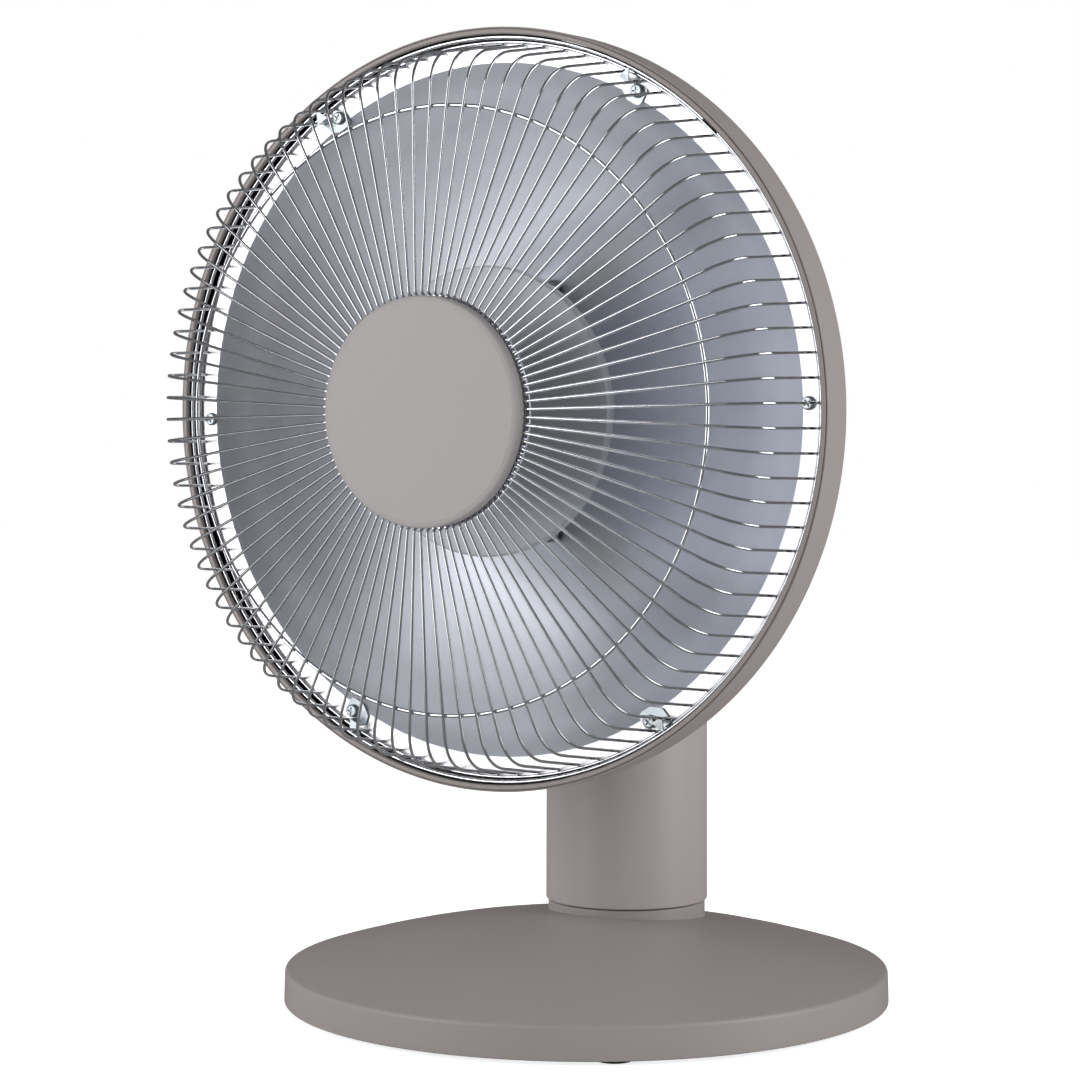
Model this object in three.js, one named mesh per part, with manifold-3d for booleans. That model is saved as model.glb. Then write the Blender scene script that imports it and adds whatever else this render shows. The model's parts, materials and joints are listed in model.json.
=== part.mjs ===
// Parabolic dish heater on a round weighted base, in millimetres, +Z up, front towards -Y.
// The origin is on the floor under the middle of the base. The head turns with the column
// about a vertical axis and tips about a pin in the top of the column.
import * as THREE from 'three';
import { mergeVertices } from 'three/addons/utils/BufferGeometryUtils.js';
import Module from 'manifold-3d';

const wasm = await Module();
wasm.setup();

// ---- driving dimensions -------------------------------------------------------------
const GAP = 0.3;                 // clearance kept between pieces that touch

const RIM_RADIUS = 180;          // outside of the painted hoop round the head
const HOOP_WALL = 3.3;
const HOOP_DEPTH = 20;
const HEAD_HEIGHT = 296;         // middle of the dish above the floor
const LIP_Y = -96;               // plane of the hoop's front edge
const SHEET = 0.8;               // spun aluminium
const STEEL = 1.2;               // pressed steel

const FLANGE_Z = -9;             // back of the reflector's flat flange, from the lip plane
const FLANGE_RADIUS = 172;
const BOWL_RADIUS = 164;
const BOWL_DEPTH = 59;
const COVER_DEPTH = 80;          // lip plane to the back of the rear cover
const SCREW_CIRCLE = 166.9;
const SCREW_COUNT = 6;
const RIM_TURN = 1.4 * Math.PI / 180;   // the screws and wires stand a little off the level

const WIRE_COUNT = 96;
const WIRE_RADIUS = 1.15;
const CAP_RADIUS = 53.2;
const CAP_FACE = 54.5;           // front of the guard's middle plate, from the lip plane
const SHADE_RADIUS = 68.7;
const LAMP_Z = -28;              // axis of the lamp, from the lip plane

const PIN_Y = 22;                // tilt pin, in the top of the column
const PIN_HEIGHT = 290;
const PIN_RADIUS = 5;
const KNUCKLE_RADIUS = 14;
const KNUCKLE_HALF = 15.5;
const KNUCKLE_FLANGE = 24;       // radius of the neck's flange on the rear cover

const COLUMN_Y = 41;             // swivel axis, behind the middle of the base
const COLUMN_RADIUS = 41.4;      // at the foot
const COLUMN_TOP_RADIUS = 40.6;
const COLUMN_WALL = 2.6;
const COLUMN_FOOT = 46.2;
const COLUMN_SHOULDER = 318;
const COLUMN_TOP = 334;
const TUBE_RADIUS = 14.6;
const TUBE_TOP = 250;

const BASE_RADIUS = 151.5;
const BASE_WALL = 2.4;
const FOOT_HEIGHT = 2;
const BASE_EDGE = 18;            // top of the base's side wall
const BASE_CROWN = 42;           // dome height in the middle
const COLLAR_RADIUS = 40.2;
const COLLAR_TOP = 45.7;
const FOOT_CIRCLE = 138;
const FOOT_COUNT = 5;
const PLATE_BOTTOM = FOOT_HEIGHT + GAP;
const PLATE_TOP = PLATE_BOTTOM + 1.6;

const POST_RADIUS = 8;
const CRANK_DISTANCE = 44;       // swivel axis to the motor's shaft
const CRANK_RADIUS = 25.3;
const CRANK_PIN_RADIUS = 3;
const ARM_BOTTOM = 29.5;
const ARM_TOP = 32;

const KNOB_HEIGHT = 245;
const BUTTON_HEIGHT = 212;
const PANEL_FACE = 42.2;         // flat bosses of the control panel, from the swivel axis

// ---- finishes -----------------------------------------------------------------------
function finish(color, roughness, metalness) {
  return () => new THREE.MeshStandardMaterial({ color, roughness, metalness });
}
const greige = finish(0xa0988f, 0.45, 0.1);
const greigeLight = finish(0xaca8a6, 0.4, 0.1);
const darkPlastic = finish(0x2a2a2c, 0.5, 0);
const chrome = finish(0xd8dade, 0.12, 1);
const satinAluminium = finish(0xc2c6cc, 0.3, 1);
const zinc = finish(0xb4b6b8, 0.35, 1);
const castIron = finish(0x3d3d40, 0.7, 0.5);
const rubber = finish(0x1c1c1c, 0.85, 0);
const ceramic = finish(0xe6dcc4, 0.6, 0);
const quartz = finish(0xdfe3e6, 0.1, 0);
const carbon = finish(0x4a4038, 0.6, 0.3);

// ---- solids -------------------------------------------------------------------------
function weld(geometry) {
  geometry.deleteAttribute('normal');
  geometry.deleteAttribute('uv');
  const merged = mergeVertices(geometry, 1e-4);
  const kept = [];
  for (let i = 0; i < merged.index.count; i += 3) {
    const corners = [0, 1, 2].map((k) => merged.index.getX(i + k));
    if (new Set(corners).size === 3) kept.push(...corners);
  }
  merged.setIndex(kept);
  return merged;
}

function toSolid(geometry) {
  const welded = weld(geometry);
  return new wasm.Manifold(new wasm.Mesh({
    numProp: 3,
    vertProperties: new Float32Array(welded.attributes.position.array),
    triVerts: new Uint32Array(welded.index.array),
  }));
}

function toGeometry(solid) {
  const mesh = solid.getMesh();
  const geometry = new THREE.BufferGeometry();
  geometry.setAttribute('position', new THREE.BufferAttribute(mesh.vertProperties, 3));
  geometry.setIndex(new THREE.BufferAttribute(mesh.triVerts, 1));
  return geometry;
}

const join = (...bodies) => toGeometry(bodies.map(toSolid).reduce((sum, body) => sum.add(body)));
const cut = (body, ...tools) => toGeometry(tools.map(toSolid)
  .reduce((rest, tool) => rest.subtract(tool), toSolid(body)));
const common = (body, tool) => toGeometry(toSolid(body).intersect(toSolid(tool)));

/** Revolves an outline of [radius, z] points, counter-clockwise, about the Z axis. */
function spin(outline, segments = 16) {
  const points = outline.map(([radius, z]) => new THREE.Vector2(radius, z));
  return new THREE.LatheGeometry(points, segments).rotateX(Math.PI / 2);
}

/** Revolves an outline that closes on itself, away from the axis. */
function spinRing(outline, segments = 16) {
  return spin([...outline, outline[0]], segments);
}

const rod = (radius, bottom, top, segments = 12) => spin(
  [[0, bottom], [radius, bottom], [radius, top], [0, top]], segments);

const sleeve = (inner, outer, bottom, top, segments = 16) => spinRing(
  [[inner, bottom], [outer, bottom], [outer, top], [inner, top]], segments);

/** A box given by its lowest corner and its highest corner. */
function block([x0, y0, z0], [x1, y1, z1]) {
  return new THREE.BoxGeometry(x1 - x0, y1 - y0, z1 - z0)
    .translate((x0 + x1) / 2, (y0 + y1) / 2, (z0 + z1) / 2);
}

/** Turns a piece built along +Z so that it points along +X or +Y. */
const alongX = (geometry) => geometry.rotateY(Math.PI / 2);
const alongY = (geometry) => geometry.rotateX(-Math.PI / 2);

const steps = (count) => Array.from({ length: count }, (_, i) => i);
const around = (count, turn = 0) => steps(count).map((i) => turn + i * 2 * Math.PI / count);
const onCircle = (radius, angle) => [radius * Math.cos(angle), radius * Math.sin(angle)];

function outlineShape(points) {
  return new THREE.Shape(points.map(([x, y]) => new THREE.Vector2(x, y)));
}

const slab = (shape, depth, curveSegments = 5) => new THREE.ExtrudeGeometry(
  shape, { depth, bevelEnabled: false, curveSegments });

/** A bent wire or strip: straight runs between corner points, one section at each point. */
class BentPath extends THREE.Curve {
  constructor(points) {
    super();
    this.points = points;
  }

  getPoint(t) {
    const last = this.points.length - 1;
    const along = Math.min(Math.max(t, 0), 1) * last;
    const i = Math.min(Math.floor(along), last - 1);
    return this.points[i].clone().lerp(this.points[i + 1], along - i);
  }

  getTangent(t) {
    const last = this.points.length - 1;
    const i = Math.round(t * last);
    const before = this.points[Math.max(i - 1, 0)];
    const here = this.points[i];
    const after = this.points[Math.min(i + 1, last)];
    const into = here.clone().sub(before).normalize();
    const out = after.clone().sub(here).normalize();
    return into.add(out).normalize();
  }

  getPointAt(u) { return this.getPoint(u); }
  getTangentAt(u) { return this.getTangent(u); }
}

function sweep(section, points) {
  const extrudePath = new BentPath(points);
  return new THREE.ExtrudeGeometry(section, { steps: points.length - 1, extrudePath });
}

function piece(name, geometry, material) {
  const mesh = new THREE.Mesh(weld(geometry), material());
  mesh.name = name;
  return mesh;
}

function assembly(place, ...pieces) {
  const group = new THREE.Group();
  group.position.set(...place);
  group.add(...pieces.flat());
  return group;
}

// ---- base ---------------------------------------------------------------------------
const domeHeight = (radius) => BASE_EDGE + (BASE_CROWN - BASE_EDGE) * (1 - (radius / BASE_RADIUS) ** 2);

/** Domed moulded cover with a soft top edge, a low side wall and the column's collar. */
function baseCover() {
  const outside = [[BASE_RADIUS, FOOT_HEIGHT], [BASE_RADIUS - 0.6, BASE_EDGE - 3],
    ...[146, 100, 50, 0].map((r) => [r, domeHeight(r)])];
  const inside = [0, 75].map((r) => [r, domeHeight(r) - BASE_WALL]);
  const wall = [[BASE_RADIUS - BASE_WALL - 1, BASE_EDGE - BASE_WALL], [BASE_RADIUS - BASE_WALL, FOOT_HEIGHT]];
  const shell = spinRing([...outside, ...inside, ...wall], 36);
  const collar = rod(COLLAR_RADIUS, 34, COLLAR_TOP, 28).translate(0, COLUMN_Y, 0);
  const hollow = rod(COLLAR_RADIUS - 3, 20, COLLAR_TOP - 3, 20).translate(0, COLUMN_Y, 0);
  const mouth = rod(31, 20, COLLAR_TOP + 1, 20).translate(0, COLUMN_Y, 0);
  const inlet = alongY(rod(GLAND_RADIUS + GAP, 140, 160, 10)).translate(0, 0, GLAND_HEIGHT);
  return cut(join(shell, collar), hollow, mouth, inlet);
}

const GLAND_RADIUS = 4.4;
const GLAND_HEIGHT = 10;

/** Rubber bush that lines the cord's way in through the side wall. */
function cordGland() {
  return alongY(spinRing([[3, 143], [5.7, 143], [5.7, 147], [GLAND_RADIUS, 147],
    [GLAND_RADIUS, 151.2], [3, 151.2]], 8)).translate(0, 0, GLAND_HEIGHT);
}

const footAngles = around(FOOT_COUNT, Math.PI / 2);
const SWITCH_PLACE = [54, -46];

/** Pressed steel floor of the base with a turned-up edge and holes for feet and plunger. */
function basePlate() {
  const edge = BASE_RADIUS - BASE_WALL - 1.2;
  const pan = spin([[0, PLATE_BOTTOM], [edge, PLATE_BOTTOM], [edge, 6.5], [edge - 1.6, 6.5],
    [edge - 1.6, PLATE_TOP], [0, PLATE_TOP]], 24);
  const footHoles = footAngles.map((angle) => {
    const [x, y] = onCircle(FOOT_CIRCLE, angle);
    return rod(4.5, 0, 10, 6).translate(x, y, 0);
  });
  const plungerHole = rod(3.5, 0, 10, 8).translate(...SWITCH_PLACE, 0);
  const glandNotch = block([-7, 140, PLATE_TOP], [7, 160, 10]);
  return cut(pan, ...footHoles, plungerHole, glandNotch);
}

function foot() {
  return spin([[0, 0], [9, 0], [9, FOOT_HEIGHT], [3.6, FOOT_HEIGHT], [3.6, 6.4], [0, 6.4]], 8);
}

/** Cast ring that keeps the heater standing. */
const ballastRing = () => sleeve(92, 128, PLATE_TOP + GAP, 15, 20);

/** Hollow spindle that carries the column; its bore takes the wires. */
function swivelPost() {
  const bottom = PLATE_TOP + GAP;
  return spinRing([[5, bottom], [18.5, bottom], [18.5, 7], [POST_RADIUS, 8],
    [POST_RADIUS, 60], [6.4, 60], [6.4, 66.5], [5, 66.5]], 10);
}

function swivelNut() {
  return cut(rod(11.5, 60 + GAP, 65.5, 6), rod(6.4 + GAP, 55, 70));
}

const thrustWasher = () => sleeve(31.8, 37.2, COLLAR_TOP + GAP, 47.7);

/** Flat synchronous gear motor with two ears. */
function oscillationMotor() {
  const bottom = PLATE_TOP + GAP;
  const can = spin([[0, bottom], [24.5, bottom], [24.5, 20.6], [6, 21], [6, 22.4],
    [3, 22.4], [3, 27], [0, 27]], 12);
  const ears = block([-31, -5, bottom], [31, 5, bottom + 1.2]);
  const holes = [-28, 28].map((x) => rod(1.8, 0, 10, 8).translate(x, 0, 0));
  return cut(join(can, ears), ...holes);
}

/** Cam on the motor's shaft; its pin runs in the slot of the swivel arm. */
function oscillationCam() {
  const disc = rod(CRANK_RADIUS + 4.5, 22.4 + GAP, 25.6, 20);
  const hub = rod(6.5, 24, 28.4, 12);
  const pin = rod(CRANK_PIN_RADIUS, 25, 34, 12).translate(0, -CRANK_RADIUS, 0);
  return cut(join(disc, hub, pin), rod(3 + GAP, 20, 30));
}

/** Tip-over switch housing with a chamber for the plunger. */
function tipSwitch() {
  const body = block([-10, -7, PLATE_TOP + GAP], [10, 7, 17]);
  const chamber = rod(5.2, 0, 13.5, 10);
  const terminals = [-6, 6].map((x) => block([x - 2.4, -0.4, 16], [x + 2.4, 0.4, 21]));
  return cut(join(body, ...terminals), chamber);
}

const tipPlunger = () => spin([[0, 0.1], [3, 0.6], [3, 8.8], [4.6, 8.8], [4.6, 10.6],
  [3, 12.6], [0, 12.6]], 8);

function base() {
  const feet = footAngles.map((angle, i) => {
    const mesh = piece(`foot_${i + 1}`, foot(), rubber);
    mesh.position.set(...onCircle(FOOT_CIRCLE, angle), 0);
    return mesh;
  });
  return assembly([0, 0, 0],
    piece('base_cover', baseCover(), greige),
    piece('base_plate', basePlate(), zinc),
    piece('ballast_ring', ballastRing(), castIron),
    piece('cord_gland', cordGland(), rubber),
    feet,
    assembly([0, COLUMN_Y, 0],
      piece('swivel_post', swivelPost(), zinc),
      piece('swivel_nut', swivelNut(), zinc),
      piece('thrust_washer', thrustWasher(), darkPlastic)),
    assembly([0, COLUMN_Y - CRANK_DISTANCE, 0],
      piece('oscillation_motor', oscillationMotor(), zinc),
      piece('oscillation_cam', oscillationCam(), darkPlastic)),
    assembly([...SWITCH_PLACE, 0],
      piece('tip_switch', tipSwitch(), darkPlastic),
      piece('tip_plunger', tipPlunger(), darkPlastic)));
}

// ---- column, built round the swivel axis ----------------------------------------------
/** Moulded hub that turns on the post and carries the tube and the shell. */
function turntable() {
  const bore = POST_RADIUS + GAP + 0.1;
  return spinRing([[bore, ARM_TOP + GAP], [14, ARM_TOP + GAP], [14, 48], [38, 48], [38, 51],
    [TUBE_RADIUS - 2, 51], [TUBE_RADIUS - 2, 60], [bore, 60]], 16);
}

/** Slotted lever under the turntable, moved by the cam's pin. */
function swivelArm() {
  const half = 9;
  const reach = CRANK_DISTANCE + CRANK_RADIUS + CRANK_PIN_RADIUS + 1;
  const plate = new THREE.Shape();
  plate.absarc(0, 0, 16, 0.6, Math.PI - 0.6);
  plate.absarc(0, -reach + 2, half, Math.PI, 2 * Math.PI);
  plate.closePath();
  const slot = new THREE.Shape();
  const slotHalf = CRANK_PIN_RADIUS + 1.9;
  slot.absarc(0, -reach + 3, slotHalf, Math.PI, 2 * Math.PI);
  slot.absarc(0, -38.5, slotHalf, 0, Math.PI);
  slot.closePath();
  return cut(slab(plate, ARM_TOP - ARM_BOTTOM).translate(0, 0, ARM_BOTTOM),
    slab(slot, 20).translate(0, 0, 20), rod(POST_RADIUS + GAP + 0.1, 20, 40));
}

const columnTube = () => sleeve(TUBE_RADIUS - 1.6, TUBE_RADIUS, 51 + GAP, TUBE_TOP);

const shellRadius = (z) => COLUMN_RADIUS
  + (COLUMN_TOP_RADIUS - COLUMN_RADIUS) * (z - COLUMN_FOOT) / (COLUMN_SHOULDER - COLUMN_FOOT);

/** Solid outline of the column's outside, or of its inside when an offset is given. */
function columnBody(offset, bottom) {
  const crown = COLUMN_TOP - COLUMN_SHOULDER;
  const dome = [0, 30, 60, 90].map((degrees) => {
    const angle = degrees * Math.PI / 180;
    return [Math.max((COLUMN_TOP_RADIUS - offset) * Math.cos(angle), 0),
      COLUMN_SHOULDER + (crown - offset) * Math.sin(angle)];
  });
  dome[3][0] = 0;
  return spin([[0, bottom], [shellRadius(bottom) - offset, bottom], ...dome], 24);
}

const PANEL = { half: 24, bottom: 190, top: 274 };
const WINDOW = { half: 17.5, bottom: 264, top: 316 };

/** Tall round shell with a domed top, a window for the neck and an opening at the back. */
function columnShell() {
  const hollow = columnBody(COLUMN_WALL, COLUMN_FOOT - 5);
  const neckWindow = block([-WINDOW.half, -60, WINDOW.bottom], [WINDOW.half, -10, WINDOW.top]);
  const opening = block([-PANEL.half, 10, PANEL.bottom], [PANEL.half, 60, PANEL.top]);
  return cut(columnBody(0, COLUMN_FOOT), hollow, neckWindow, opening);
}

/** Curved control panel with two flat bosses. */
function rearPanel() {
  const skin = cut(columnBody(0, COLUMN_FOOT), columnBody(COLUMN_WALL, COLUMN_FOOT - 5));
  const outline = block([-PANEL.half + 0.4, 10, PANEL.bottom + 0.4], [PANEL.half - 0.4, 60, PANEL.top - 0.4]);
  const knobBoss = alongY(rod(14, 36, PANEL_FACE, 20)).translate(0, 0, KNOB_HEIGHT);
  const buttonBoss = alongY(rod(9, 36, PANEL_FACE)).translate(0, 0, BUTTON_HEIGHT);
  const shaftHole = alongY(rod(3.4, 20, 60, 8)).translate(0, 0, KNOB_HEIGHT);
  const buttonHole = alongY(rod(6.4, 20, 60)).translate(0, 0, BUTTON_HEIGHT);
  const screwHoles = PANEL_SCREWS.map((z) => alongY(rod(1.9, 20, 60, 6)).translate(0, 0, z));
  return cut(join(common(skin, outline), knobBoss, buttonBoss), shaftHole, buttonHole, ...screwHoles);
}

const PANEL_SCREWS = [196, 267];

const panelScrew = () => alongY(spin([[0, 33], [1.6, 33], [1.6, 41.3 + GAP], [2.8, 41.3 + GAP],
  [2.2, 43.4], [0, 43.4]], 6));

/** Four-way rotary switch with its spindle. */
function rotarySwitch() {
  const body = block([-13, 19, -13], [13, 34, 13]);
  const bush = alongY(rod(8, 33, 35.5));
  const spindle = alongY(rod(3, 34, 52, 8));
  return join(body, bush, spindle).translate(0, 0, KNOB_HEIGHT);
}

/** Round knob with a pointer ridge across its face. */
function powerKnob() {
  const skirt = spin([[0, PANEL_FACE + GAP], [13, PANEL_FACE + GAP], [13, PANEL_FACE + 3],
    [11, PANEL_FACE + 4.5], [10.6, 55], [0, 55]], 20);
  const ridge = block([-2.2, -11.2, 50], [2.2, 11.2, 58.5]);
  const bore = rod(3 + GAP, 40, 52 + GAP, 8);
  return alongY(cut(join(skirt, ridge), bore)).translate(0, 0, KNOB_HEIGHT);
}

const oscillationSwitch = () => block([-8, 19, BUTTON_HEIGHT - 8], [8, 29.5, BUTTON_HEIGHT + 8]);

const oscillationButton = () => alongY(spin([[0, 33], [7.6, 33], [7.6, 35], [6, 35], [6, 45.8],
  [5, 46.6], [0, 46.6]], 12)).translate(0, 0, BUTTON_HEIGHT);

/** U-shaped steel bracket on the tube; its cheeks hold the tilt pin. */
function tiltBracket() {
  const pinY = PIN_Y - COLUMN_Y;
  const inner = KNUCKLE_HALF + 2.4 + GAP;
  const outer = inner + 2.4;
  const cheek = new THREE.Shape();
  cheek.moveTo(pinY - 9, TUBE_TOP + GAP);
  cheek.lineTo(15, TUBE_TOP + GAP);
  cheek.lineTo(pinY + 12, PIN_HEIGHT);
  cheek.absarc(pinY, PIN_HEIGHT, 12, 0, Math.PI);
  cheek.lineTo(pinY - 9, TUBE_TOP + GAP);
  const cheeks = slab(cheek, 2 * outer).rotateX(Math.PI / 2).rotateZ(Math.PI / 2)
    .translate(-outer, 0, 0);
  const between = block([-inner, -40, TUBE_TOP + 3], [inner, 40, PIN_HEIGHT + 20]);
  const pinHole = alongX(rod(PIN_RADIUS + GAP, -30, 30)).translate(0, pinY, PIN_HEIGHT);
  const wireHole = rod(8, TUBE_TOP - 5, TUBE_TOP + 10);
  return cut(cheeks, between, pinHole, wireHole);
}

const WASHER_INNER = KNUCKLE_HALF + GAP;
const BRACKET_OUTER = KNUCKLE_HALF + 4.8 + GAP;

const frictionWasher = () => alongX(sleeve(PIN_RADIUS + GAP, 11.5, WASHER_INNER, WASHER_INNER + 1.8, 12));

function tiltPin() {
  const head = rod(8, -BRACKET_OUTER - 5, -BRACKET_OUTER - GAP, 6);
  const shank = rod(PIN_RADIUS, -BRACKET_OUTER - 1, BRACKET_OUTER + 7);
  return alongX(join(head, shank));
}

const tiltNut = () => alongX(cut(rod(8, BRACKET_OUTER + GAP, BRACKET_OUTER + 5.3, 6),
  rod(PIN_RADIUS + GAP, 10, 40)));

function column() {
  return assembly([0, COLUMN_Y, 0],
    piece('turntable', turntable(), darkPlastic),
    piece('swivel_arm', swivelArm(), zinc),
    piece('column_tube', columnTube(), zinc),
    piece('column_shell', columnShell(), greige),
    piece('rear_panel', rearPanel(), greige),
    PANEL_SCREWS.map((z, i) => {
      const screw = piece(`panel_screw_${i + 1}`, panelScrew(), zinc);
      screw.position.z = z;
      return screw;
    }),
    piece('rotary_switch', rotarySwitch(), darkPlastic),
    piece('power_knob', powerKnob(), darkPlastic),
    piece('oscillation_switch', oscillationSwitch(), darkPlastic),
    piece('oscillation_button', oscillationButton(), darkPlastic),
    piece('tilt_bracket', tiltBracket(), zinc),
    assembly([0, PIN_Y - COLUMN_Y, PIN_HEIGHT],
      piece('friction_washer_left', frictionWasher().rotateZ(Math.PI), darkPlastic),
      piece('friction_washer_right', frictionWasher(), darkPlastic),
      piece('tilt_pin', tiltPin(), zinc),
      piece('tilt_nut', tiltNut(), zinc)));
}

// ---- head: x right, y up, z forward from the hoop's front edge -----------------------
/** Deep hoop round the dish, with a rolled front edge and a groove behind it. */
function rimHoop() {
  const inner = RIM_RADIUS - HOOP_WALL;
  return spinRing([[inner, -HOOP_DEPTH], [RIM_RADIUS, -HOOP_DEPTH], [RIM_RADIUS, -5.6],
    [RIM_RADIUS - 0.8, -5], [RIM_RADIUS - 0.8, 0], [inner, 0]], 40);
}

const WIRE_HOLE = 7;             // middle hole for the lamp's wires

/** Points along a parabola from its flat middle out to its edge. */
function parabola(flat, edge, flatZ, edgeZ, count) {
  return steps(count + 1).map((i) => {
    const radius = flat + (edge - flat) * i / count;
    return [radius, flatZ + (edgeZ - flatZ) * (radius ** 2 - flat ** 2) / (edge ** 2 - flat ** 2)];
  });
}

/** Spun aluminium dish with a flat flange. */
function reflector() {
  const back = parabola(WIRE_HOLE, BOWL_RADIUS, FLANGE_Z - BOWL_DEPTH, FLANGE_Z, 4);
  const front = back.map(([r, z]) => [r, z + SHEET]).toReversed();
  const dish = spinRing([...back, [FLANGE_RADIUS, FLANGE_Z], [FLANGE_RADIUS, FLANGE_Z + SHEET], ...front], 30);
  return cut(dish, ...rimScrewPlaces.map(([x, y]) => rod(1.9, -20, 0, 6).translate(x, y, 0)));
}

const rimScrewPlaces = around(SCREW_COUNT, RIM_TURN).map((angle) => onCircle(SCREW_CIRCLE, angle));

const COVER_RADIUS = RIM_RADIUS - HOOP_WALL - 0.8;
const COVER_FLAT = 31;           // flat middle of the rear cover, where the neck bolts on
const VENT_COUNT = 9;

/** Pressed steel back of the head with a ring of vent slots and a flange for the dish. */
function rearCover() {
  const outside = parabola(COVER_FLAT, COVER_RADIUS, -COVER_DEPTH, -HOOP_DEPTH, 3);
  const inside = outside.map(([r, z]) => [Math.min(r, COVER_RADIUS - STEEL), z + STEEL]).toReversed();
  const flangeTop = FLANGE_Z - GAP;
  const rim = [[COVER_RADIUS, flangeTop], [BOWL_RADIUS + 1, flangeTop],
    [BOWL_RADIUS + 1, flangeTop - STEEL], [COVER_RADIUS - STEEL, flangeTop - STEEL]];
  const shell = spinRing([[WIRE_HOLE, -COVER_DEPTH], ...outside, ...rim, ...inside,
    [WIRE_HOLE, STEEL - COVER_DEPTH]], 28);
  const slot = block([87, -2.5, -90], [121, 2.5, -20]);
  const vents = around(VENT_COUNT).map((angle) => slot.clone().rotateZ(angle));
  const rimHoles = rimScrewPlaces.map(([x, y]) => rod(1.9, -20, 0, 6).translate(x, y, 0));
  const neckHoles = knuckleScrewPlaces.map(([x, y]) => rod(2.3, -85, -70, 6).translate(x, y, 0));
  return cut(shell, ...vents, ...rimHoles, ...neckHoles);
}

/** Pan-head screw seated on the reflector's flange, or on a clip. */
function flangeScrew(seat) {
  return spin([[0, -15], [1.5, -15], [1.5, seat], [3.1, seat], [2.5, seat + 1.9],
    [0, seat + 1.9]], 6);
}

const CLIP_BOTTOM = FLANGE_Z + SHEET + GAP;

/** L-shaped clip under a flange screw; its raised hook grips the rim rings beside a wire. */
function guardClip() {
  const hookZ = -4.9;
  const outer = 169.6;
  const foot = block([SCREW_CIRCLE - 3.4, -3.4, CLIP_BOTTOM], [outer, 8.4, CLIP_BOTTOM + SHEET]);
  const riser = block([outer - SHEET, 3.4, CLIP_BOTTOM], [outer, 8.4, hookZ + SHEET]);
  const hook = block([outer - SHEET, 3.4, hookZ], [171.9, 8.4, hookZ + SHEET]);
  return cut(join(foot, riser, hook), rod(1.9, -20, 0, 6).translate(SCREW_CIRCLE, 0, 0));
}

const WIRE_SIDES = 3;
const wireSection = (turn) => around(WIRE_SIDES, turn).map((angle) => onCircle(WIRE_RADIUS, angle));

/** One radial wire: up from the rim rings, round the shoulder, in to the cap and hooked back. */
function guardWire() {
  const bends = [[171.3, -6.6], [160.6, 36.4], [56.8, 49.3], [50.8, 44.2]];
  return sweep(outlineShape(wireSection(Math.PI / 2)), bends.map(([r, z]) => new THREE.Vector3(r, 0, z)));
}

/** The two rim rings, side by side and welded along their length. */
function rimRings() {
  const [inner, middle, outer] = [170.7, 173, 174.9];
  const [low, seam, step, high] = [-7.8, -5.6, -5.9, -3.4];
  return spinRing([[inner, low], [middle, low], [outer, seam], [outer, high], [middle, high],
    [middle, step], [inner, step]], RING_STEPS);
}

const middleRing = () => spinRing(
  wireSection(-Math.PI / 2).map(([r, z]) => [MIDDLE_RING_RADIUS + r, MIDDLE_RING_Z + z]), RING_STEPS);

/** Flat ring behind the cap, on which the hooked wire ends are welded. */
const hubRing = () => sleeve(46.6, 53.8, 43.4, 44.8, 20);

/** Welded wire guard: radial wires on two rim rings, a middle ring and a flat hub ring. */
function guard() {
  const wires = around(WIRE_COUNT, RIM_TURN).map((angle) => guardWire().rotateZ(angle));
  return join(rimRings(), middleRing(), hubRing(), ...wires);
}

const RING_STEPS = 36;
const MIDDLE_RING_RADIUS = 140.4;
const MIDDLE_RING_Z = 37.75;

/** Plain pressed pan in the middle of the guard; its back flange sits on the hooked wire ends. */
function guardCap() {
  const face = CAP_FACE - STEEL;
  const skirt = CAP_RADIUS - STEEL;
  return spin([[44, 46.8], [49.6, 46.8], [CAP_RADIUS, 48.5], [CAP_RADIUS, CAP_FACE - 2.2],
    [CAP_RADIUS - 2, CAP_FACE - 0.8], [0, CAP_FACE], [0, face], [skirt, face - 1.4], [skirt, 49.2],
    [49.2, 48], [44, 48], [44, 46.8]], 24);
}

/** Shallow aluminium pan that shades the lamp from the front. */
function shadeDisc() {
  const r = SHADE_RADIUS;
  return spin([[0, 1.8], [r - SHEET, 0], [r - SHEET, -4.8], [r, -4.8],
    [r, -0.4], [r - 1.4, SHEET], [0, 2.6]], 28);
}

/** Bent steel strip across the dish that carries the lamp and the shade. */
function lampBracket() {
  const halfWidth = 7;
  const bends = [[50, -0.35], [63, -0.7], [63, -56.6], [22, -64.5], [-22, -64.5], [-63, -56.6], [-63, -0.7],
    [-50, -0.35]];
  const section = outlineShape([[-halfWidth, -0.5], [halfWidth, -0.5], [halfWidth, 0.5], [-halfWidth, 0.5]]);
  return sweep(section, bends.map(([y, z]) => new THREE.Vector3(0, y, z)));
}

const LAMP_HALF = 47;

const lampTube = () => alongY(sleeve(4.4, 5.5, -LAMP_HALF, LAMP_HALF, 12)).translate(0, 0, LAMP_Z);
const lampFilament = () => alongY(rod(1.8, -LAMP_HALF, LAMP_HALF, 6)).translate(0, 0, LAMP_Z);

/** Cream ceramic block on each end of the lamp. */
function lampEnd(side) {
  const from = LAMP_HALF + GAP;
  const body = block([-7.5, from, -7.5], [7.5, 61.8, 7.5]);
  const flute = block([-10, from + 5, 4.5], [10, from + 8, 10]);
  return cut(body, flute).rotateX(side > 0 ? 0 : Math.PI).translate(0, 0, LAMP_Z);
}

/** Round thermal cut-out between the dish and the rear cover. */
function thermalCutout() {
  const body = spin([[0, -71], [5, -71], [5, -69], [8, -69], [8, -64.7], [0, -64.7]], 12);
  return body.translate(46, 0, 0);
}

const knuckleScrewPlaces = around(3, Math.PI / 2).map((angle) => onCircle(17.5, angle));

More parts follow.
